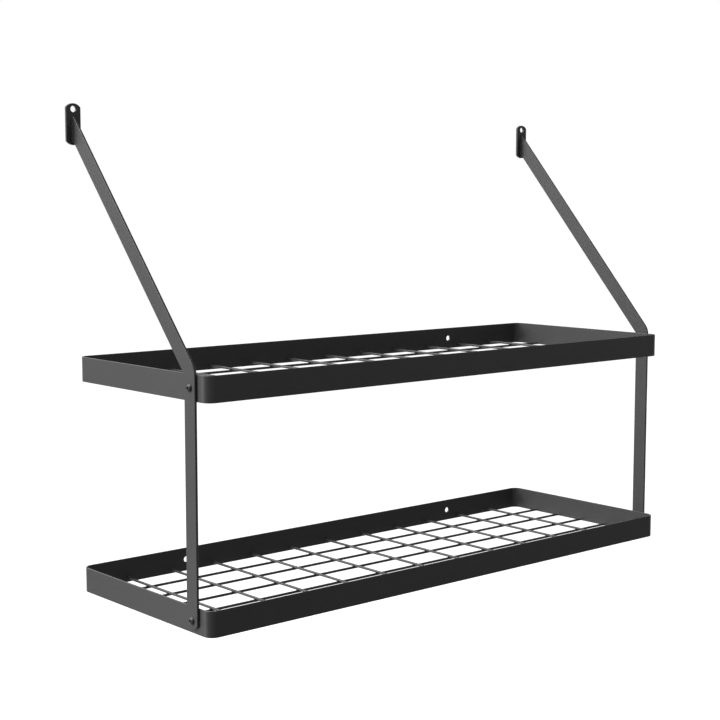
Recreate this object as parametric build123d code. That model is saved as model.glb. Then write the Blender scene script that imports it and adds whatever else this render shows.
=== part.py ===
from build123d import *
import os
from math import atan2, degrees, radians, tan

os.makedirs("parts", exist_ok=True)

# Wall mounted pot rack: two wire trays hung between two bent steel side arms.
# Frame: +X along the wall to the right, +Y into the wall, +Z up, in millimetres.
# Origin: on the wall plane, halfway between the screw holes of the two wall tabs.
# Nothing passes the wall plane y = 0.

# Trays: a flat steel strip on edge, bent into a ring with four rounded corners
tray_length = 770.0
tray_depth = 270.0
tray_height = 30.0
strip_thickness = 2.0
tray_corner_radius = 12.0
strip_edge_break = 0.4
tray_spacing = 258.0

# Wire grid: long wires lie flush with the strip's lower edge, cross wires on them, all butt the strip
wire_diameter = 3.2
long_wire_count = 5
cross_wire_count = 11
wire_seat_gap = 0.05

# Side arms: flat bar on the outside of the trays, bent once on edge
bar_width = 20.0
bar_thickness = 3.0
bar_edge_break = 0.4
arm_setback = 20.0
arm_end_radius = 12.5
arm_end_below_screw = 9.5
bend_inner_radius = 1.0
bend_above_tray = 2.4
slope_rise = 268.8

# Wall tabs: short upright plates welded across the arms' upper ends
tab_width = 19.5
tab_height = 49.0
tab_thickness = 3.0
tab_end_radius = 12.5
tab_below_arm_axis = 19.8
tab_hole_below_top = 6.7
weld_leg = 1.5

# Wall screw holes in the tabs and in the trays' back walls
wall_hole_diameter = 7.5
tray_hole_spacing = 468.0

# Tray screws: M5 button heads with a hexagon socket, and M5 nuts inside the strip
screw_diameter = 5.0
screw_hole_clearance = 0.5
screw_past_nut = 2.3
screw_tip_chamfer = 0.6
head_diameter = 9.5
head_height = 2.75
head_rim = 0.4
head_crown_diameter = 3.8
head_dome_radius = 5.0
socket_width = 3.0
socket_depth = 1.6
nut_width = 8.0
nut_height = 4.7
nut_face_diameter = 7.6
nut_chamfer_angle = 30.0
thread_clearance = 0.05

# Heights worked down from the tabs' holes at z = 0
tab_top = tab_hole_below_top
tab_bottom = tab_top - tab_height
arm_axis_at_tab = tab_bottom + tab_below_arm_axis
bend_height = arm_axis_at_tab - slope_rise
upper_tray_bottom = bend_height - bend_above_tray - tray_height
lower_tray_bottom = upper_tray_bottom - tray_spacing
tray_bottoms = {"upper": upper_tray_bottom, "lower": lower_tray_bottom}

# Places shared by the pieces that meet
inner_length = tray_length - 2 * strip_thickness
inner_depth = tray_depth - 2 * strip_thickness
arm_axis_x = (tray_length + bar_thickness) / 2
arm_axis_y = -(tray_depth - arm_setback - bar_width / 2)
tab_face_y = -tab_thickness
slope_run = tab_face_y - arm_axis_y
screw_rise = tray_height / 2
screw_hole_diameter = screw_diameter + screw_hole_clearance
sides = {"left": -1, "right": 1}


def tray_band(bottom):
    """The strip ring of one tray, with its wall holes and its arm screw holes."""
    ring = RectangleRounded(tray_length, tray_depth, tray_corner_radius)
    ring -= RectangleRounded(inner_length, inner_depth, tray_corner_radius - strip_thickness)
    band = extrude(ring, tray_height)
    rims = band.edges().group_by(Axis.Z)
    band = chamfer(rims[0] + rims[-1], strip_edge_break)
    band = Pos(0, -tray_depth / 2, bottom) * band

    hole_height = bottom + screw_rise
    wall_drill = Plane.XZ * extrude(Circle(wall_hole_diameter / 2), 2 * strip_thickness, both=True)
    screw_drill = Plane.YZ * extrude(Circle(screw_hole_diameter / 2), 2 * strip_thickness, both=True)
    for side in sides.values():
        band -= Pos(side * tray_hole_spacing / 2, 0, hole_height) * wall_drill
        band -= Pos(side * tray_length / 2, arm_axis_y, hole_height) * screw_drill
    return band


def long_wires(bottom):
    """Wires along the wall, evenly spaced from back to front."""
    height = bottom + wire_diameter / 2
    pitch = tray_depth / (long_wire_count + 1)
    wire = Plane.YZ * extrude(Circle(wire_diameter / 2), inner_length / 2, both=True)
    return [Pos(0, -pitch * (i + 1), height) * wire for i in range(long_wire_count)]


def cross_wires(bottom):
    """Wires from back to front, lying on the long wires, evenly spaced from left to right."""
    height = bottom + wire_diameter + wire_seat_gap + wire_diameter / 2
    pitch = tray_length / (cross_wire_count + 1)
    wire = Plane.XZ * extrude(Circle(wire_diameter / 2), inner_depth / 2, both=True)
    first = -tray_length / 2 + pitch
    return [Pos(first + pitch * i, -tray_depth / 2, height) * wire for i in range(cross_wire_count)]


def arm_outline():
    """Side view of an arm: local x is the rack's y, local y is its z."""
    end_height = lower_tray_bottom + screw_rise - arm_end_below_screw
    end_centre = (arm_axis_y, end_height + arm_end_radius)
    bend = (arm_axis_y, bend_height)
    past_tab_face = (tab_face_y + slope_run / 2, arm_axis_at_tab + slope_rise / 2)
    centre_radius = bend_inner_radius + bar_width / 2
    centre_line = FilletPolyline(end_centre, bend, past_tab_face, radius=centre_radius)
    rounded_end = Rectangle(bar_width, 2 * arm_end_radius) & Circle(arm_end_radius)
    bar = trace(centre_line, line_width=bar_width) + Pos(*end_centre) * rounded_end
    beyond_face = Rectangle(tray_depth, 2 * slope_rise, align=(Align.MIN, Align.CENTER))
    return bar - Pos(tab_face_y, arm_axis_at_tab) * beyond_face


def weld_beads(outline):
    """Concave fillet welds in the two corners between an arm's end and its tab."""
    corner = (bar_thickness / 2, 0)
    on_tab = (bar_thickness / 2 + weld_leg, 0)
    on_bar = (bar_thickness / 2, -weld_leg)
    profile = make_face(
        [
            Line(corner, on_tab),
            RadiusArc(on_tab, on_bar, weld_leg),
            Line(on_bar, corner),
        ]
    )
    bead = Pos(0, tab_face_y, arm_axis_at_tab) * extrude(profile, bar_width, both=True)
    bar_section = extrude(Plane.YZ * outline, bar_thickness / 2 + weld_leg, both=True)
    return [bead & bar_section, mirror(bead, Plane.YZ) & bar_section]


def arm(side):
    """One side arm: bent bar with its two tray screw holes and the weld to its tab."""
    outline = arm_outline()
    bar = extrude(Plane.YZ * outline, bar_thickness / 2, both=True)
    side_edges = bar.faces().filter_by(Axis.X).edges()
    clear_of_weld = side_edges.filter_by(lambda edge: edge.center().Y < tab_face_y - weld_leg)
    bar = chamfer(clear_of_weld, bar_edge_break)
    drill = Plane.YZ * extrude(Circle(screw_hole_diameter / 2), bar_thickness, both=True)
    for bottom in tray_bottoms.values():
        bar -= Pos(0, arm_axis_y, bottom + screw_rise) * drill
    for bead in weld_beads(outline):
        bar += bead
    return Pos(side * arm_axis_x, 0, 0) * bar


def wall_tab(side):
    """Upright plate on the wall, arched at both ends, with one screw hole near the top."""
    arch_rise = tab_height / 2 - tab_end_radius
    arch = Circle(tab_end_radius)
    arches = Pos(0, arch_rise) * arch + Pos(0, -arch_rise) * arch
    arched = arches + Rectangle(tab_width, 2 * arch_rise)
    plate = arched & Rectangle(tab_width, tab_height)
    plate = Pos(0, (tab_top + tab_bottom) / 2) * plate - Circle(wall_hole_diameter / 2)
    tab = extrude(Plane.XZ * plate, tab_thickness)
    outer_face = tab.faces().sort_by(Axis.Y)[0]
    tab = chamfer(outer_face.outer_wire().edges(), bar_edge_break)
    return Pos(side * arm_axis_x, 0, 0) * tab


def button_head_screw():
    """Head underside on the local xy plane, dome up, shank down."""
    under_edge = (head_diameter / 2, 0)
    rim = (head_diameter / 2, head_rim)
    crown = (head_crown_diameter / 2, head_height)
    profile = make_face(
        [
            Line((0, 0), under_edge),
            Line(under_edge, rim),
            RadiusArc(rim, crown, -head_dome_radius),
            Line(crown, (0, head_height)),
            Line((0, head_height), (0, 0)),
        ]
    )
    head = revolve(Plane.XZ * profile, Axis.Z)
    socket = extrude(RegularPolygon(socket_width / 2, 6, major_radius=False), socket_depth)
    head -= Pos(0, 0, head_height - socket_depth) * socket
    length = bar_thickness + strip_thickness + nut_height + screw_past_nut
    shank = Cylinder(screw_diameter / 2, length, align=(Align.CENTER, Align.CENTER, Align.MAX))
    shank = chamfer(shank.edges().sort_by(Axis.Z)[0], screw_tip_chamfer)
    return head + shank


def hexagon_nut():
    """Seat on the local xy plane, body up, corners chamfered on both faces."""
    hexagon = RegularPolygon(nut_width / 2, 6, major_radius=False)
    corner_radius = hexagon.vertices()[0].center().length
    face_radius = nut_face_diameter / 2
    bevel = (corner_radius - face_radius) * tan(radians(nut_chamfer_angle))
    half_section = Polyline(
        (0, 0),
        (face_radius, 0),
        (corner_radius, bevel),
        (corner_radius, nut_height - bevel),
        (face_radius, nut_height),
        (0, nut_height),
        close=True,
    )
    envelope = revolve(Plane.XZ * make_face(half_section), Axis.Z)
    bore_radius = screw_diameter / 2 + thread_clearance
    bore = Cylinder(bore_radius, nut_height, align=(Align.CENTER, Align.CENTER, Align.MIN))
    return (extrude(hexagon, nut_height) & envelope) - bore


def facing(side, x, height):
    """Plane across a tray screw, its normal pointing away from the rack on that side."""
    return Plane(origin=(side * x, arm_axis_y, height), x_dir=(0, 1, 0), z_dir=(side, 0, 0))


pieces = {}
for level, bottom in tray_bottoms.items():
    pieces[f"{level}_tray_band"] = tray_band(bottom)
    for number, wire in enumerate(long_wires(bottom), 1):
        pieces[f"{level}_long_wire_{number}"] = wire
    for number, wire in enumerate(cross_wires(bottom), 1):
        pieces[f"{level}_cross_wire_{number:02d}"] = wire
    for name, side in sides.items():
        height = bottom + screw_rise
        arm_outer_face = facing(side, tray_length / 2 + bar_thickness, height)
        strip_inner_face = facing(-side, -inner_length / 2, height)
        pieces[f"{level}_{name}_screw"] = arm_outer_face * button_head_screw()
        pieces[f"{level}_{name}_nut"] = strip_inner_face * hexagon_nut()
for name, side in sides.items():
    pieces[f"{name}_arm"] = arm(side)
    pieces[f"{name}_wall_tab"] = wall_tab(side)

for name, piece in pieces.items():
    export_step(piece, f"parts/{name}.step")

slope_angle = degrees(atan2(slope_run, slope_rise))
print(f"{len(pieces)} pieces, arms lean {slope_angle:.1f} degrees from upright")
print(f"overall height {tab_top - lower_tray_bottom:.1f}, tray bottoms {tray_bottoms}")
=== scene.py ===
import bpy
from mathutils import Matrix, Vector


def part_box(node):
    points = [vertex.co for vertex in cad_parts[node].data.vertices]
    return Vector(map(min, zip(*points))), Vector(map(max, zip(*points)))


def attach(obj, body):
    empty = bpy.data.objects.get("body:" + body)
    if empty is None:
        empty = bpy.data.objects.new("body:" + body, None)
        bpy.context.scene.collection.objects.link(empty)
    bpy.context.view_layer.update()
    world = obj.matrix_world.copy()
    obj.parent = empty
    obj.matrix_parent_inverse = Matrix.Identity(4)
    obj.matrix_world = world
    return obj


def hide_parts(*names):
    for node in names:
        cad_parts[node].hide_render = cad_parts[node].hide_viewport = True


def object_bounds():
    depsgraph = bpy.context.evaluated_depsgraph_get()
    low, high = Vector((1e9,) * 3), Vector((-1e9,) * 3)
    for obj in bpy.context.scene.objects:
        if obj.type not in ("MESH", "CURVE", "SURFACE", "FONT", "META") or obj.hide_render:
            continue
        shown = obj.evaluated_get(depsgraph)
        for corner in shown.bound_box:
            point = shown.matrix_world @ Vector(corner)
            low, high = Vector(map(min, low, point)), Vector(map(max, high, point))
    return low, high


bl_info = {
    "name": "Wall Mounted Pot Rack",
    "version": (1, 0, 0),
    "blender": (4, 5, 0),
    "location": "3D View > Sidebar > Pot Rack",
    "description": "Finishes a steel pot rack: coat, welded wire grids, screws, nuts and studio",
    "category": "Object",
}

from math import atan2, cos, inf, pi, radians, sin, sqrt, tan

import bpy
from mathutils import Matrix, Vector

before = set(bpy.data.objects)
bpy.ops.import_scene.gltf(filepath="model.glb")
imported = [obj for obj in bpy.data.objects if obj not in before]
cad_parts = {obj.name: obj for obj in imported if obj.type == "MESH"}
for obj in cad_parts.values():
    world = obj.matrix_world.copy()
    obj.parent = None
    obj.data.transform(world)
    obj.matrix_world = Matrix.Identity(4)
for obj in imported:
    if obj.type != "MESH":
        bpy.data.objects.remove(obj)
CAD_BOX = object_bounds()

BODY = "root"
LEVELS = ("upper", "lower")
SIDES = {"left": -1, "right": 1}
MM = 0.001
UP = Vector((0, 0, 1))

# Sockets of a Mix node by number, because the node has several of each name
NUMBER_A, NUMBER_B, NUMBER_RESULT = 2, 3, 0
COLOUR_A, COLOUR_B, COLOUR_RESULT = 6, 7, 2

# How fine the meshes are
WIRE_TURNS = 24
FASTENER_TURNS = 48
FLARE_STEPS = 5
SWELL_STEPS = 5
THREAD_STEPS = 8
DOME_STEPS = 10
CORNER_STEPS = 5
COAT_SEGMENTS = 3
# The flat faces decide the shading of the rounded edges beside them
FLAT_FACE_WEIGHT = 100

# What counts as one vertex, a flat face, an edge and a crease
SPLIT_CORNER = 0.002 * MM
FLAT_ANGLE = radians(0.5)
EDGE_ANGLE = radians(30)
CREASE_ANGLE = radians(35)

# Button head of the M5 screw
HEAD_HEIGHT = 2.75 * MM
HEAD_RIM = 0.4 * MM
CROWN_RADIUS = 1.9 * MM
DOME_RADIUS = 5.0 * MM
# Height above the head's underside and distance inside its widest radius, of its rounded under edge
UNDER_EDGE = ((0.0, 0.2 * MM), (0.05 * MM, 0.05 * MM), (0.15 * MM, 0.0))

# Socket: depth below the crown and distance outside its flats, of its rounded mouth
SOCKET_MOUTH = ((0.0, 0.32 * MM), (0.06 * MM, 0.22 * MM))
SOCKET_FLATS_FROM = 0.2 * MM
DRILL_STEP = 0.02 * MM
DRILL_POINT_DEPTH = 0.4 * MM
DRILL_POINT_RADIUS = 0.1 * MM

# Shank and thread
SHANK_RADIUS = 2.5 * MM
TIP_CHAMFER = 0.6 * MM
THREAD_PAST_NUT = 0.4 * MM
GROOVE_SLOPE = 1.25

# Nut
NUT_BORE_RADIUS = 2.55 * MM
NUT_FACE_INSET = 0.2 * MM
NUT_CORNER_ANGLE = radians(30)
NUT_COUNTERSINK = 0.3 * MM

# Studio
FLOOR_HALF_WIDTH = 30.0
FLOOR_PAINT = "#DDDDDD"
WHITE = (1, 1, 1, 1)
BLACK = (0, 0, 0, 1)
SENSOR_WIDTH = 36.0
VIEW_DEPTH = 100.0


def from_hex(code):
    """Turns an sRGB hex colour into the linear values that shaders take."""
    channels = [int(code[i : i + 2], 16) / 255 for i in (1, 3, 5)]
    return [c / 12.92 if c <= 0.04045 else ((c + 0.055) / 1.055) ** 2.4 for c in channels]


class PotRackCoating(bpy.types.PropertyGroup):
    """Black powder coat on strip, bar, tabs and wire."""

    colour: bpy.props.FloatVectorProperty(
        name="Coat colour",
        description="Colour of the cured powder",
        subtype="COLOR",
        size=3,
        min=0,
        max=1,
        default=from_hex("#313131"),
    )
    roughness: bpy.props.FloatProperty(
        name="Coat roughness",
        description="Satin sheen: lower is glossier",
        subtype="FACTOR",
        min=0,
        max=1,
        default=0.42,
    )
    peel_size: bpy.props.FloatProperty(
        name="Orange peel size",
        description="Width of one soft wave in the cured coat",
        unit="LENGTH",
        subtype="DISTANCE",
        default=2.2 * MM,
    )
    # The powder's own grain is near 0.05 mm, too fine to show, so it is drawn coarser
    grain_size: bpy.props.FloatProperty(
        name="Grain size",
        description="Width of one fine bump of the satin powder",
        unit="LENGTH",
        subtype="DISTANCE",
        default=0.35 * MM,
    )
    edge_radius: bpy.props.FloatProperty(
        name="Edge rounding",
        description="How far the coat rounds each broken edge of the steel",
        unit="LENGTH",
        subtype="DISTANCE",
        default=0.27 * MM,
    )


class PotRackWelds(bpy.types.PropertyGroup):
    """Welds of the wire grids."""

    swell_height: bpy.props.FloatProperty(
        name="Crossing swell",
        description="How far a wire swells towards the wire that it is welded to",
        unit="LENGTH",
        subtype="DISTANCE",
        default=0.45 * MM,
    )
    swell_length: bpy.props.FloatProperty(
        name="Crossing swell length",
        description="Half length of the swelling along the wire",
        unit="LENGTH",
        subtype="DISTANCE",
        default=2.4 * MM,
    )
    end_flare: bpy.props.FloatProperty(
        name="End flare",
        description="Leg of the small fillet where a wire's end is welded to the strip",
        unit="LENGTH",
        subtype="DISTANCE",
        default=0.9 * MM,
    )


class PotRackFasteners(bpy.types.PropertyGroup):
    """M5 button head screws and hexagon nuts."""

    colour: bpy.props.FloatVectorProperty(
        name="Fastener colour",
        description="Colour of the black zinc on screws and nuts",
        subtype="COLOR",
        size=3,
        min=0,
        max=1,
        default=from_hex("#1A1A1C"),
    )
    socket_width: bpy.props.FloatProperty(
        name="Socket width",
        description="Width across flats of the hexagon socket in the screw heads",
        unit="LENGTH",
        subtype="DISTANCE",
        default=3.0 * MM,
    )
    socket_depth: bpy.props.FloatProperty(
        name="Socket depth",
        description="Depth of the socket's straight walls",
        unit="LENGTH",
        subtype="DISTANCE",
        default=1.6 * MM,
    )
    thread_pitch: bpy.props.FloatProperty(
        name="Thread pitch",
        description="Rise of one turn of the screw thread",
        unit="LENGTH",
        subtype="DISTANCE",
        default=0.8 * MM,
    )
    thread_depth: bpy.props.FloatProperty(
        name="Thread depth",
        description="Depth of the thread's groove",
        unit="LENGTH",
        subtype="DISTANCE",
        default=0.43 * MM,
    )


class PotRackStage(bpy.types.PropertyGroup):
    """Camera, lamps, backdrop and floor. A level is a brightness, and the white backdrop's is 1."""

    camera_place: bpy.props.FloatVectorProperty(
        name="Camera place",
        description="Where the camera stands, from the middle between the tabs' holes",
        unit="LENGTH",
        subtype="TRANSLATION",
        size=3,
        default=(-1.277932, -1.550109, -0.109155),
    )
    camera_turn: bpy.props.FloatProperty(
        name="Camera turn",
        description="Turn from looking straight at the wall, towards the right end of the rack",
        subtype="ANGLE",
        default=radians(40.871),
    )
    camera_tilt: bpy.props.FloatProperty(
        name="Camera tilt",
        description="How far the camera looks down",
        subtype="ANGLE",
        default=radians(6.136),
    )
    camera_roll: bpy.props.FloatProperty(
        name="Camera roll",
        description="Roll about the line of sight",
        subtype="ANGLE",
        default=radians(0.038),
    )
    lens: bpy.props.FloatProperty(
        name="Lens",
        description="Focal length in millimetres on a 36 mm wide sensor",
        default=73.40,
    )
    floor_drop: bpy.props.FloatProperty(
        name="Floor drop",
        description="How far the floor lies under the lower tray",
        unit="LENGTH",
        subtype="DISTANCE",
        default=2.0,
    )
    key_level: bpy.props.FloatProperty(
        name="Key softbox",
        description="Brightness of the large softbox high on the left",
        min=0,
        default=7.0,
    )
    side_level: bpy.props.FloatProperty(
        name="Side softbox",
        description="Brightness of the narrow softbox low on the left",
        min=0,
        default=2.0,
    )
    room_level: bpy.props.FloatProperty(
        name="Room level",
        description="Brightness of the room around the rack",
        subtype="FACTOR",
        min=0,
        max=1,
        default=0.1,
    )
    front_level: bpy.props.FloatProperty(
        name="Front level",
        description="Brightness that the coat mirrors from the wall on the other side of the room",
        subtype="FACTOR",
        min=0,
        max=1,
        default=0.5,
    )
    left_level: bpy.props.FloatProperty(
        name="Left level",
        description="Brightness that the coat mirrors from wall and floor under the softboxes",
        subtype="FACTOR",
        min=0,
        max=1,
        default=0.25,
    )
    ceiling_level: bpy.props.FloatProperty(
        name="Ceiling level",
        description="Brightness that the coat mirrors from the darker ceiling around the softboxes",
        subtype="FACTOR",
        min=0,
        max=1,
        default=0.2,
    )


def add_node(tree, kind, settings=None, inputs=None):
    """Adds a node. Settings are its attributes; inputs are socket values or sockets to link."""
    node = tree.nodes.new(kind)
    for name, value in (settings or {}).items():
        setattr(node, name, value)
    for name, value in (inputs or {}).items():
        if isinstance(value, bpy.types.NodeSocket):
            tree.links.new(value, node.inputs[name])
        else:
            node.inputs[name].default_value = value
    return node


def new_material(name):
    """An empty node material and its tree."""
    material = bpy.data.materials.new(name)
    material.use_nodes = True
    material.node_tree.nodes.clear()
    return material, material.node_tree


def satin_powder_coat(name, settings):
    """Black epoxy-polyester powder, sprayed dry and baked.

    To the eye it is an even black with soft broad highlights and a faint orange peel.
    """
    film_size = 45 * MM  # the coat's thickness drifts as slowly as the spray gun's passes
    thin_share, thick_share = 1.12, 0.9
    film_low, film_high = 0.3, 0.7  # nearly all of the noise lies between these
    sheen_drift = 0.03
    peel_strength, peel_height = 0.25, 0.06 * MM
    grain_strength, grain_height = 0.3, 0.02 * MM

    material, tree = new_material(name)
    place = add_node(tree, "ShaderNodeTexCoord").outputs["Object"]
    noises = ((settings.peel_size, 1.0), (settings.grain_size, 2.0), (film_size, 2.0))
    peel, grain, film = (
        add_node(
            tree,
            "ShaderNodeTexNoise",
            inputs={"Vector": place, "Scale": 1 / size, "Detail": detail},
        ).outputs["Fac"]
        for size, detail in noises
    )
    thin, thick = (
        tuple(channel * share for channel in settings.colour) + (1,)
        for share in (thin_share, thick_share)
    )
    colour = add_node(
        tree,
        "ShaderNodeMix",
        {"data_type": "RGBA"},
        {"Factor": film, COLOUR_A: thin, COLOUR_B: thick},
    )
    sheen = add_node(
        tree,
        "ShaderNodeMapRange",
        inputs={
            "Value": film,
            "From Min": film_low,
            "From Max": film_high,
            "To Min": settings.roughness - sheen_drift,
            "To Max": settings.roughness + sheen_drift,
        },
    )
    waves = add_node(
        tree,
        "ShaderNodeBump",
        inputs={"Strength": peel_strength, "Distance": peel_height, "Height": peel},
    )
    bumps = add_node(
        tree,
        "ShaderNodeBump",
        inputs={
            "Strength": grain_strength,
            "Distance": grain_height,
            "Height": grain,
            "Normal": waves.outputs["Normal"],
        },
    )
    surface = add_node(
        tree,
        "ShaderNodeBsdfPrincipled",
        inputs={
            "Base Color": colour.outputs[COLOUR_RESULT],
            "Roughness": sheen.outputs["Result"],
            "IOR": 1.5,
            "Normal": bumps.outputs["Normal"],
        },
    )
    add_node(tree, "ShaderNodeOutputMaterial", inputs={"Surface": surface.outputs["BSDF"]})
    return material


def black_zinc(name, settings):
    """Steel fasteners plated with zinc and passivated black.

    To the eye they are darker than the coat around them, with the same soft satin.
    """
    mottle_size = 0.6 * MM  # really about 0.1 mm, drawn coarser so that it shows
    roughness_low, roughness_high = 0.42, 0.54
    pit_strength, pit_depth = 0.15, 0.01 * MM

    material, tree = new_material(name)
    place = add_node(tree, "ShaderNodeTexCoord").outputs["Object"]
    mottle = add_node(
        tree,
        "ShaderNodeTexNoise",
        inputs={"Vector": place, "Scale": 1 / mottle_size, "Detail": 3.0},
    ).outputs["Fac"]
    sheen = add_node(
        tree,
        "ShaderNodeMapRange",
        inputs={"Value": mottle, "To Min": roughness_low, "To Max": roughness_high},
    )
    pits = add_node(
        tree,
        "ShaderNodeBump",
        inputs={"Strength": pit_strength, "Distance": pit_depth, "Height": mottle},
    )
    surface = add_node(
        tree,
        "ShaderNodeBsdfPrincipled",
        inputs={
            "Base Color": (*settings.colour, 1),
            "Roughness": sheen.outputs["Result"],
            "Normal": pits.outputs["Normal"],
        },
    )
    add_node(tree, "ShaderNodeOutputMaterial", inputs={"Surface": surface.outputs["BSDF"]})
    return material


def shared_material(name, make, settings):
    """The material of that name, made the first time it is asked for."""
    return bpy.data.materials.get(name) or make(name, settings)


def coat_of(scene):
    """The powder coat that strips, arms, tabs and wires share."""
    return shared_material("Satin_Black_Powder_Coat", satin_powder_coat, scene.pot_rack_coating)


def coat_node(node_name, scene):
    """Gives a CAD node its coat, and rounds its broken edges as the coat does."""
    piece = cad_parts[node_name]
    coat = coat_of(scene)
    for material_slot in piece.material_slots:
        material_slot.material = coat
    join = piece.modifiers.new("Join split corners", "WELD")
    join.merge_threshold = SPLIT_CORNER
    flat = piece.modifiers.new("Whole flat faces", "DECIMATE")
    flat.decimate_type = "DISSOLVE"
    flat.angle_limit = FLAT_ANGLE
    rounding = piece.modifiers.new("Coated edges", "BEVEL")
    rounding.width = scene.pot_rack_coating.edge_radius
    rounding.segments = COAT_SEGMENTS
    rounding.limit_method = "ANGLE"
    rounding.angle_limit = EDGE_ANGLE
    rounding.use_clamp_overlap = True
    shading = piece.modifiers.new("Even shading", "WEIGHTED_NORMAL")
    shading.weight = FLAT_FACE_WEIGHT


def lathe(name, rings, turns, loop=False):
    """A mesh of rings about the local z axis, with its ends capped or joined to a loop.

    A ring is a height and a radius, and the radius may be a function of the angle.
    """
    vertices, faces = [], []
    for height, radius in rings:
        for i in range(turns):
            angle = 2 * pi * i / turns
            reach = radius(angle) if callable(radius) else radius
            vertices.append((reach * cos(angle), reach * sin(angle), height))
    for ring in range(len(rings) if loop else len(rings) - 1):
        start, above = ring * turns, (ring + 1) % len(rings) * turns
        for i in range(turns):
            j = (i + 1) % turns
            faces.append((start + i, start + j, above + j, above + i))
    if not loop:
        last = (len(rings) - 1) * turns
        faces.append(tuple(reversed(range(turns))))
        faces.append(tuple(range(last, last + turns)))
    mesh = bpy.data.meshes.new(name)
    mesh.from_pydata(vertices, [], faces)
    mesh.validate()
    return mesh


def hexagon(flat_radius, limit=inf):
    """Radius of a hexagon's side by angle, cut off at a round limit."""
    sixth = pi / 3

    def reach(angle):
        return min(flat_radius / cos(angle % sixth - sixth / 2), limit)

    return reach


def arc(start, end, radius, steps):
    """Rings on a dome from one height and radius to another, bulging away from the axis."""
    chord = Vector((end[0] - start[0], end[1] - start[1]))
    bulge = Vector((-chord.y, chord.x)).normalized()
    if bulge.y < 0:
        bulge.negate()
    centre = (Vector(start) + Vector(end)) / 2 - bulge * sqrt(radius**2 - (chord.length / 2) ** 2)
    first, last = (atan2(p[0] - centre.x, p[1] - centre.y) for p in (start, end))
    angles = [first + (last - first) * i / steps for i in range(steps + 1)]
    return [(centre.x + radius * sin(t), centre.y + radius * cos(t)) for t in angles]


def screw_rings(head_radius, length, plain_length, settings):
    """Button head screw, from its tip up to the bottom of its socket.

    The head's underside is at height 0, and the shank below it is plain before its thread starts.
    """
    tip_radius = SHANK_RADIUS - TIP_CHAMFER

    def thread(height):
        """A groove over half the pitch, with a narrow flat at its bottom and a chamfered tip."""

        def reach(angle):
            turn = (height / settings.thread_pitch - angle / (2 * pi)) % 1
            share = GROOVE_SLOPE - abs(4 * turn - 2) * GROOVE_SLOPE
            groove = settings.thread_depth * min(1.0, max(0.0, share))
            return min(SHANK_RADIUS - groove, tip_radius + height + length)

        return reach

    threaded = length - plain_length
    steps = round(threaded / (settings.thread_pitch / THREAD_STEPS))
    heights = [-length + threaded * i / steps for i in range(1, steps)]
    rings = [(-length, tip_radius)]
    rings += [(height, thread(height)) for height in heights]
    rings += [(-plain_length, SHANK_RADIUS), (0.0, SHANK_RADIUS)]
    rings += [(height, head_radius - inset) for height, inset in UNDER_EDGE]
    rings += arc((HEAD_RIM, head_radius), (HEAD_HEIGHT, CROWN_RADIUS), DOME_RADIUS, DOME_STEPS)

    flat_radius = settings.socket_width / 2
    flats = hexagon(flat_radius)
    socket_floor = HEAD_HEIGHT - settings.socket_depth
    rings += [(HEAD_HEIGHT - depth, flat_radius + outset) for depth, outset in SOCKET_MOUTH]
    rings += [
        (HEAD_HEIGHT - SOCKET_FLATS_FROM, flats),
        (socket_floor, flats),
        (socket_floor - DRILL_STEP, flat_radius - DRILL_STEP),
        (socket_floor - DRILL_POINT_DEPTH, DRILL_POINT_RADIUS),
    ]
    return rings


def nut_rings(flat_radius, height):
    """Hexagon nut with turned-off corners and a countersunk bore; its seat is at height 0."""
    slope = tan(NUT_CORNER_ANGLE)
    face_radius = flat_radius - NUT_FACE_INSET
    corner_rise = (flat_radius / cos(pi / 6) - face_radius) * slope
    rises = [corner_rise * i / CORNER_STEPS for i in range(CORNER_STEPS + 1)]
    rings = [(rise, hexagon(flat_radius, face_radius + rise / slope)) for rise in rises]
    rings += [(height - rise, radius) for rise, radius in reversed(rings)]
    rings += [
        (height, NUT_BORE_RADIUS + NUT_COUNTERSINK),
        (height - NUT_COUNTERSINK, NUT_BORE_RADIUS),
        (NUT_COUNTERSINK, NUT_BORE_RADIUS),
        (0.0, NUT_BORE_RADIUS + NUT_COUNTERSINK),
    ]
    return rings


def wire_rings(length, radius, crossings, towards, welds):
    """One wire: flared at both ends, and swollen at each crossing towards the wire that it joins.

    Towards is 1 where that wire lies above, and -1 where it lies below.
    """
    stations = []
    for i in range(FLARE_STEPS + 1):
        from_end = welds.end_flare * (1 - cos(pi / 2 * i / FLARE_STEPS))
        stations += [from_end, length - from_end]
    for middle in crossings:
        steps = range(-SWELL_STEPS, SWELL_STEPS + 1)
        stations += [middle + welds.swell_length * i / SWELL_STEPS for i in steps]

    def radius_at(along):
        from_end = min(along, length - along)
        flare = 0.0
        if from_end < welds.end_flare:
            rise = welds.end_flare - from_end
            flare = welds.end_flare - sqrt(welds.end_flare**2 - rise**2)
        nearest = min(abs(along - middle) for middle in crossings)
        swell = 0.0
        if nearest < welds.swell_length:
            swell = welds.swell_height * cos(pi / 2 * nearest / welds.swell_length) ** 2

        def reach(angle):
            facing = max(0.0, cos(angle) * towards)
            pooled = 0.5 + 0.5 * cos(angle)  # the flare pools on top and fades out underneath
            return radius + swell * facing**2 + flare * pooled

        return reach

    return [(along, radius_at(along)) for along in sorted(stations)]


def wire_run(level, kind):
    """Boxes of one tray's wires of one kind by name, in order."""
    start = f"{level}_{kind}_wire_"
    return {name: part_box(name) for name in sorted(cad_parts) if name.startswith(start)}


def place_along(mesh, start, along, up):
    """Moves a mesh made about local z so that z runs along a direction and local x points up."""
    z = along.normalized()
    x = up.normalized()
    y = z.cross(x)
    turn = Matrix((x, y, z)).transposed().to_4x4()
    mesh.transform(Matrix.Translation(start) @ turn)


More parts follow.
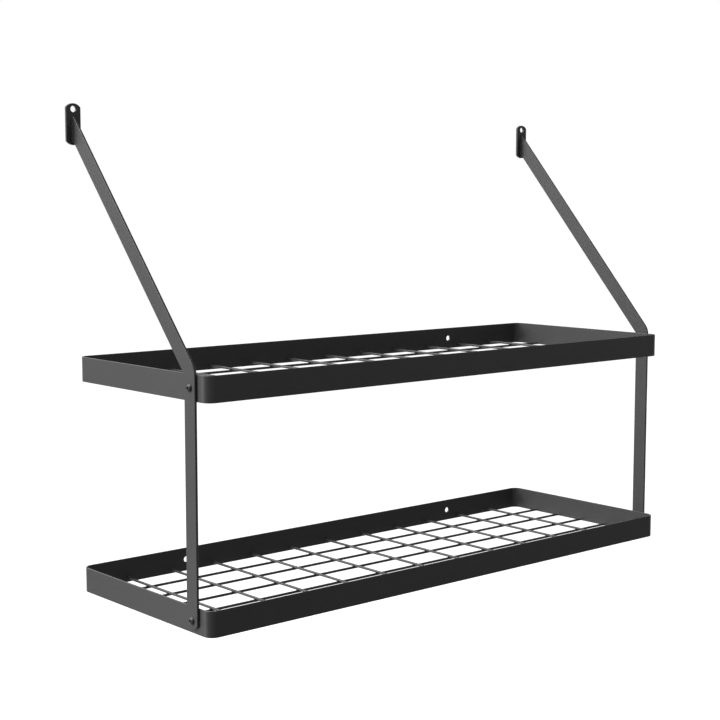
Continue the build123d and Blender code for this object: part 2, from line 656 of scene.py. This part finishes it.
def add_piece(name, mesh, material, replaced):
    """Puts a finished mesh in the scene in place of a CAD node, smooth except at its creases."""
    piece = bpy.data.objects.new(name, mesh)
    bpy.context.scene.collection.objects.link(piece)
    mesh.materials.append(material)
    mesh.shade_smooth()
    mesh.set_sharp_from_angle(angle=CREASE_ANGLE)
    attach(piece, BODY)
    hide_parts(replaced)


class POTRACK_OT_strips(bpy.types.Operator):
    """Coat the two tray strips"""

    bl_idname = "potrack.strips"
    bl_label = "Tray Strips"

    def execute(self, context):
        for level in LEVELS:
            coat_node(f"{level}_tray_band", context.scene)
        return {"FINISHED"}


class POTRACK_OT_arms(bpy.types.Operator):
    """Coat the side arms and the wall tabs"""

    bl_idname = "potrack.arms"
    bl_label = "Arms and Wall Tabs"

    def execute(self, context):
        for side in SIDES:
            coat_node(f"{side}_arm", context.scene)
            coat_node(f"{side}_wall_tab", context.scene)
        return {"FINISHED"}


class POTRACK_OT_wires(bpy.types.Operator):
    """Build the welded wire grids of both trays"""

    bl_idname = "potrack.wires"
    bl_label = "Wire Grids"

    def execute(self, context):
        # The long wires run along x under the cross wires, which run along y
        across = {"long": ("cross", 0, 1), "cross": ("long", 1, -1)}
        welds = context.scene.pot_rack_welds
        coat = coat_of(context.scene)
        for level in LEVELS:
            runs = {kind: wire_run(level, kind) for kind in across}
            for kind, (other, axis, towards) in across.items():
                joined = [(low + high) / 2 for low, high in runs[other].values()]
                along = Vector((0, 0, 0))
                along[axis] = 1
                for name, (low, high) in runs[kind].items():
                    crossings = [middle[axis] - low[axis] for middle in joined]
                    length, radius = high[axis] - low[axis], (high.z - low.z) / 2
                    rings = wire_rings(length, radius, crossings, towards, welds)
                    start = (low + high) / 2
                    start[axis] = low[axis]
                    mesh = lathe(f"{name}_welded", rings, WIRE_TURNS)
                    place_along(mesh, start, along, UP)
                    add_piece(f"{name}_welded", mesh, coat, name)
        return {"FINISHED"}


class POTRACK_OT_fasteners(bpy.types.Operator):
    """Finish the tray screws and nuts"""

    bl_idname = "potrack.fasteners"
    bl_label = "Screws and Nuts"

    def execute(self, context):
        settings = context.scene.pot_rack_fasteners
        zinc = shared_material("Black_Passivated_Zinc", black_zinc, settings)
        places = [(f"{level}_{side}", sign) for level in LEVELS for side, sign in SIDES.items()]
        for place, sign in places:
            outward = Vector((sign, 0, 0))
            screw, nut = f"{place}_screw", f"{place}_nut"
            low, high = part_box(screw)
            head_radius = (high.z - low.z) / 2
            tip, head_top = (low.x, high.x) if sign > 0 else (high.x, low.x)
            under_head = head_top - sign * HEAD_HEIGHT
            seat = (low + high) / 2
            seat.x = under_head

            low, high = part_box(nut)
            nut_radius = (high.z - low.z) / 2
            nut_seat, nut_end = (high.x, low.x) if sign > 0 else (low.x, high.x)
            nut_place = Vector((nut_seat, seat.y, seat.z))

            plain_length = abs(under_head - nut_end) - THREAD_PAST_NUT
            rings = screw_rings(head_radius, abs(under_head - tip), plain_length, settings)
            mesh = lathe(f"{screw}_turned", rings, FASTENER_TURNS)
            place_along(mesh, seat, outward, UP)
            add_piece(f"{screw}_turned", mesh, zinc, screw)

            rings = nut_rings(nut_radius, abs(nut_end - nut_seat))
            mesh = lathe(f"{nut}_turned", rings, FASTENER_TURNS, loop=True)
            place_along(mesh, nut_place, -outward, Vector((0, 1, 0)))
            add_piece(f"{nut}_turned", mesh, zinc, nut)
        return {"FINISHED"}


def backdrop_level(tree, place, seen, mirrored, fades, room):
    """Brightness of a backdrop by kind of ray.

    Camera and transmission rays get what is seen, glossy rays what is mirrored, the rest the room.
    Each fade takes what is mirrored to its own level along an axis, fully at the first of its two
    places and not at all at the second.
    """
    axes = add_node(tree, "ShaderNodeSeparateXYZ", inputs={"Vector": place}).outputs
    for axis, full, none, level in fades:
        fade = add_node(
            tree,
            "ShaderNodeMapRange",
            {"interpolation_type": "SMOOTHSTEP"},
            {
                "Value": axes[axis],
                "From Min": full,
                "From Max": none,
                "To Min": level,
                "To Max": mirrored,
            },
        )
        mirrored = fade.outputs["Result"]
    rays = add_node(tree, "ShaderNodeLightPath").outputs
    looking = add_node(
        tree,
        "ShaderNodeMath",
        {"operation": "MAXIMUM"},
        {0: rays["Is Camera Ray"], 1: rays["Is Transmission Ray"]},
    )
    level = room
    for share, value in ((rays["Is Glossy Ray"], mirrored), (looking.outputs[0], seen)):
        mix = add_node(
            tree,
            "ShaderNodeMix",
            {"data_type": "FLOAT"},
            {0: share, NUMBER_A: level, NUMBER_B: value},
        )
        level = mix.outputs[NUMBER_RESULT]
    return level


def pale_room(stage):
    """World: white where it is looked at, and darker where the coat mirrors walls and ceiling."""
    world = bpy.data.worlds.new("Pale_Room")
    world.use_nodes = True
    tree = world.node_tree
    tree.nodes.clear()
    direction = add_node(tree, "ShaderNodeTexCoord").outputs["Generated"]
    fades = (
        ("Y", -0.24, 0.24, stage.front_level),
        ("X", -0.6, -0.3, stage.left_level),
        ("Z", 0.6, 0.25, stage.ceiling_level),
    )
    level = backdrop_level(tree, direction, 1.0, 1.0, fades, stage.room_level)
    room = add_node(tree, "ShaderNodeBackground", inputs={"Color": WHITE, "Strength": level})
    add_node(tree, "ShaderNodeOutputWorld", inputs={"Surface": room.outputs["Background"]})
    return world


def pale_floor(stage, height):
    """Wide floor that takes lamplight and shadow near the rack and runs into the white far off."""
    shadow_shows_to, white_from = 3.0, 5.0
    near_glow, far_glow = 0.1, 1.0
    back_level, front_level = 0.95, 0.2

    half = FLOOR_HALF_WIDTH
    corners = [(x * half, y * half, height) for x, y in ((-1, -1), (1, -1), (1, 1), (-1, 1))]
    mesh = bpy.data.meshes.new("floor")
    mesh.from_pydata(corners, [], [(0, 1, 2, 3)])
    floor = bpy.data.objects.new("floor", mesh)

    material, tree = new_material("Pale_Studio_Floor")
    place = add_node(tree, "ShaderNodeNewGeometry").outputs["Position"]
    away = add_node(tree, "ShaderNodeVectorMath", {"operation": "LENGTH"}, {0: place})
    seen = add_node(
        tree,
        "ShaderNodeMapRange",
        {"interpolation_type": "SMOOTHSTEP"},
        {
            "Value": away.outputs["Value"],
            "From Min": shadow_shows_to,
            "From Max": white_from,
            "To Min": near_glow,
            "To Max": far_glow,
        },
    )
    fades = (("Y", -2.0, 2.0, front_level), ("X", -2.5, -1.0, stage.left_level))
    level = backdrop_level(tree, place, seen.outputs["Result"], back_level, fades, 0.0)
    # What the coat mirrors of the floor is its own level, with no lamplight added
    glossy = add_node(tree, "ShaderNodeLightPath").outputs["Is Glossy Ray"]
    pale = add_node(
        tree,
        "ShaderNodeMix",
        {"data_type": "RGBA"},
        {"Factor": glossy, COLOUR_A: (*from_hex(FLOOR_PAINT), 1), COLOUR_B: BLACK},
    )
    paint = add_node(tree, "ShaderNodeBsdfDiffuse", inputs={"Color": pale.outputs[COLOUR_RESULT]})
    glow = add_node(tree, "ShaderNodeEmission", inputs={"Color": WHITE, "Strength": level})
    lit = add_node(
        tree,
        "ShaderNodeAddShader",
        inputs={0: paint.outputs["BSDF"], 1: glow.outputs["Emission"]},
    )
    add_node(tree, "ShaderNodeOutputMaterial", inputs={"Surface": lit.outputs["Shader"]})
    mesh.materials.append(material)
    return floor


def softbox(name, target, level, reach, turn, rise, wide, tall):
    """A softbox that faces a point at a distance; its direction and spread are seen from there.

    Turn starts at the rack's right and goes by the wall to its left. Level 1 is backdrop white.
    """
    towards = Vector((cos(rise) * cos(turn), cos(rise) * sin(turn), sin(rise)))
    lamp = bpy.data.lights.new(name, "AREA")
    lamp.shape = "RECTANGLE"
    lamp.size = 2 * reach * cos(rise) * tan(wide / 2)
    lamp.size_y = 2 * reach * tan(tall / 2)
    lamp.energy = pi * lamp.size * lamp.size_y * level
    holder = bpy.data.objects.new(name, lamp)
    holder.location = target + reach * towards
    holder.rotation_euler = (-towards).to_track_quat("-Z", "Y").to_euler()
    holder.visible_camera = False
    return holder


def photo_camera(stage):
    """Camera at the photograph's view."""
    camera = bpy.data.objects.new("camera", bpy.data.cameras.new("camera"))
    camera.data.sensor_width = SENSOR_WIDTH
    camera.data.lens = stage.lens
    camera.data.clip_end = VIEW_DEPTH
    turn = Matrix.Rotation(-stage.camera_turn, 4, "Z")
    tilt = Matrix.Rotation(radians(90) - stage.camera_tilt, 4, "X")
    roll = Matrix.Rotation(stage.camera_roll, 4, "Z")
    camera.matrix_world = Matrix.Translation(stage.camera_place) @ turn @ tilt @ roll
    return camera


class POTRACK_OT_stage(bpy.types.Operator):
    """Set up the floor, the pale room, the softboxes and the camera"""

    bl_idname = "potrack.stage"
    bl_label = "Stage"

    def execute(self, context):
        scene = context.scene
        stage = scene.pot_rack_stage
        scene.view_settings.view_transform = "Standard"
        scene.world = pale_room(stage)

        low, high = CAD_BOX
        middle = (low + high) / 2
        floor = pale_floor(stage, low.z - stage.floor_drop)
        key = softbox(
            "key_softbox",
            middle,
            stage.key_level,
            reach=5.0,
            turn=radians(147),
            rise=radians(47),
            wide=radians(75),
            tall=radians(66),
        )
        side = softbox(
            "side_softbox",
            middle,
            stage.side_level,
            reach=3.5,
            turn=radians(152),
            rise=radians(-10),
            wide=radians(28),
            tall=radians(50),
        )
        camera = photo_camera(stage)
        for one in (floor, key, side, camera):
            scene.collection.objects.link(one)
        scene.camera = camera
        return {"FINISHED"}


class POTRACK_PT_panel(bpy.types.Panel):
    """Lists the pieces and the settings of the pot rack"""

    bl_idname = "POTRACK_PT_panel"
    bl_label = "Pot Rack"
    bl_space_type = "VIEW_3D"
    bl_region_type = "UI"
    bl_category = "Pot Rack"

    def draw(self, context):
        for operator in OPERATORS:
            self.layout.operator(operator.bl_idname)
        for group in GROUPS:
            settings = getattr(context.scene, group)
            box = self.layout.box()
            for name in settings.__annotations__:
                box.prop(settings, name)


GROUPS = {
    "pot_rack_coating": PotRackCoating,
    "pot_rack_welds": PotRackWelds,
    "pot_rack_fasteners": PotRackFasteners,
    "pot_rack_stage": PotRackStage,
}
OPERATORS = (
    POTRACK_OT_strips,
    POTRACK_OT_arms,
    POTRACK_OT_wires,
    POTRACK_OT_fasteners,
    POTRACK_OT_stage,
)
CLASSES = (*GROUPS.values(), *OPERATORS, POTRACK_PT_panel)


def register():
    """Registers the classes and puts the settings on the scene."""
    for one in CLASSES:
        bpy.utils.register_class(one)
    for name, group in GROUPS.items():
        setattr(bpy.types.Scene, name, bpy.props.PointerProperty(type=group))


def unregister():
    """Takes the settings and the classes away again."""
    for name in GROUPS:
        delattr(bpy.types.Scene, name)
    for one in reversed(CLASSES):
        bpy.utils.unregister_class(one)


def main():
    register()
    bpy.ops.potrack.strips()
    bpy.ops.potrack.arms()
    bpy.ops.potrack.wires()
    bpy.ops.potrack.fasteners()
    bpy.ops.potrack.stage()


if __name__ == "__main__":
    main()
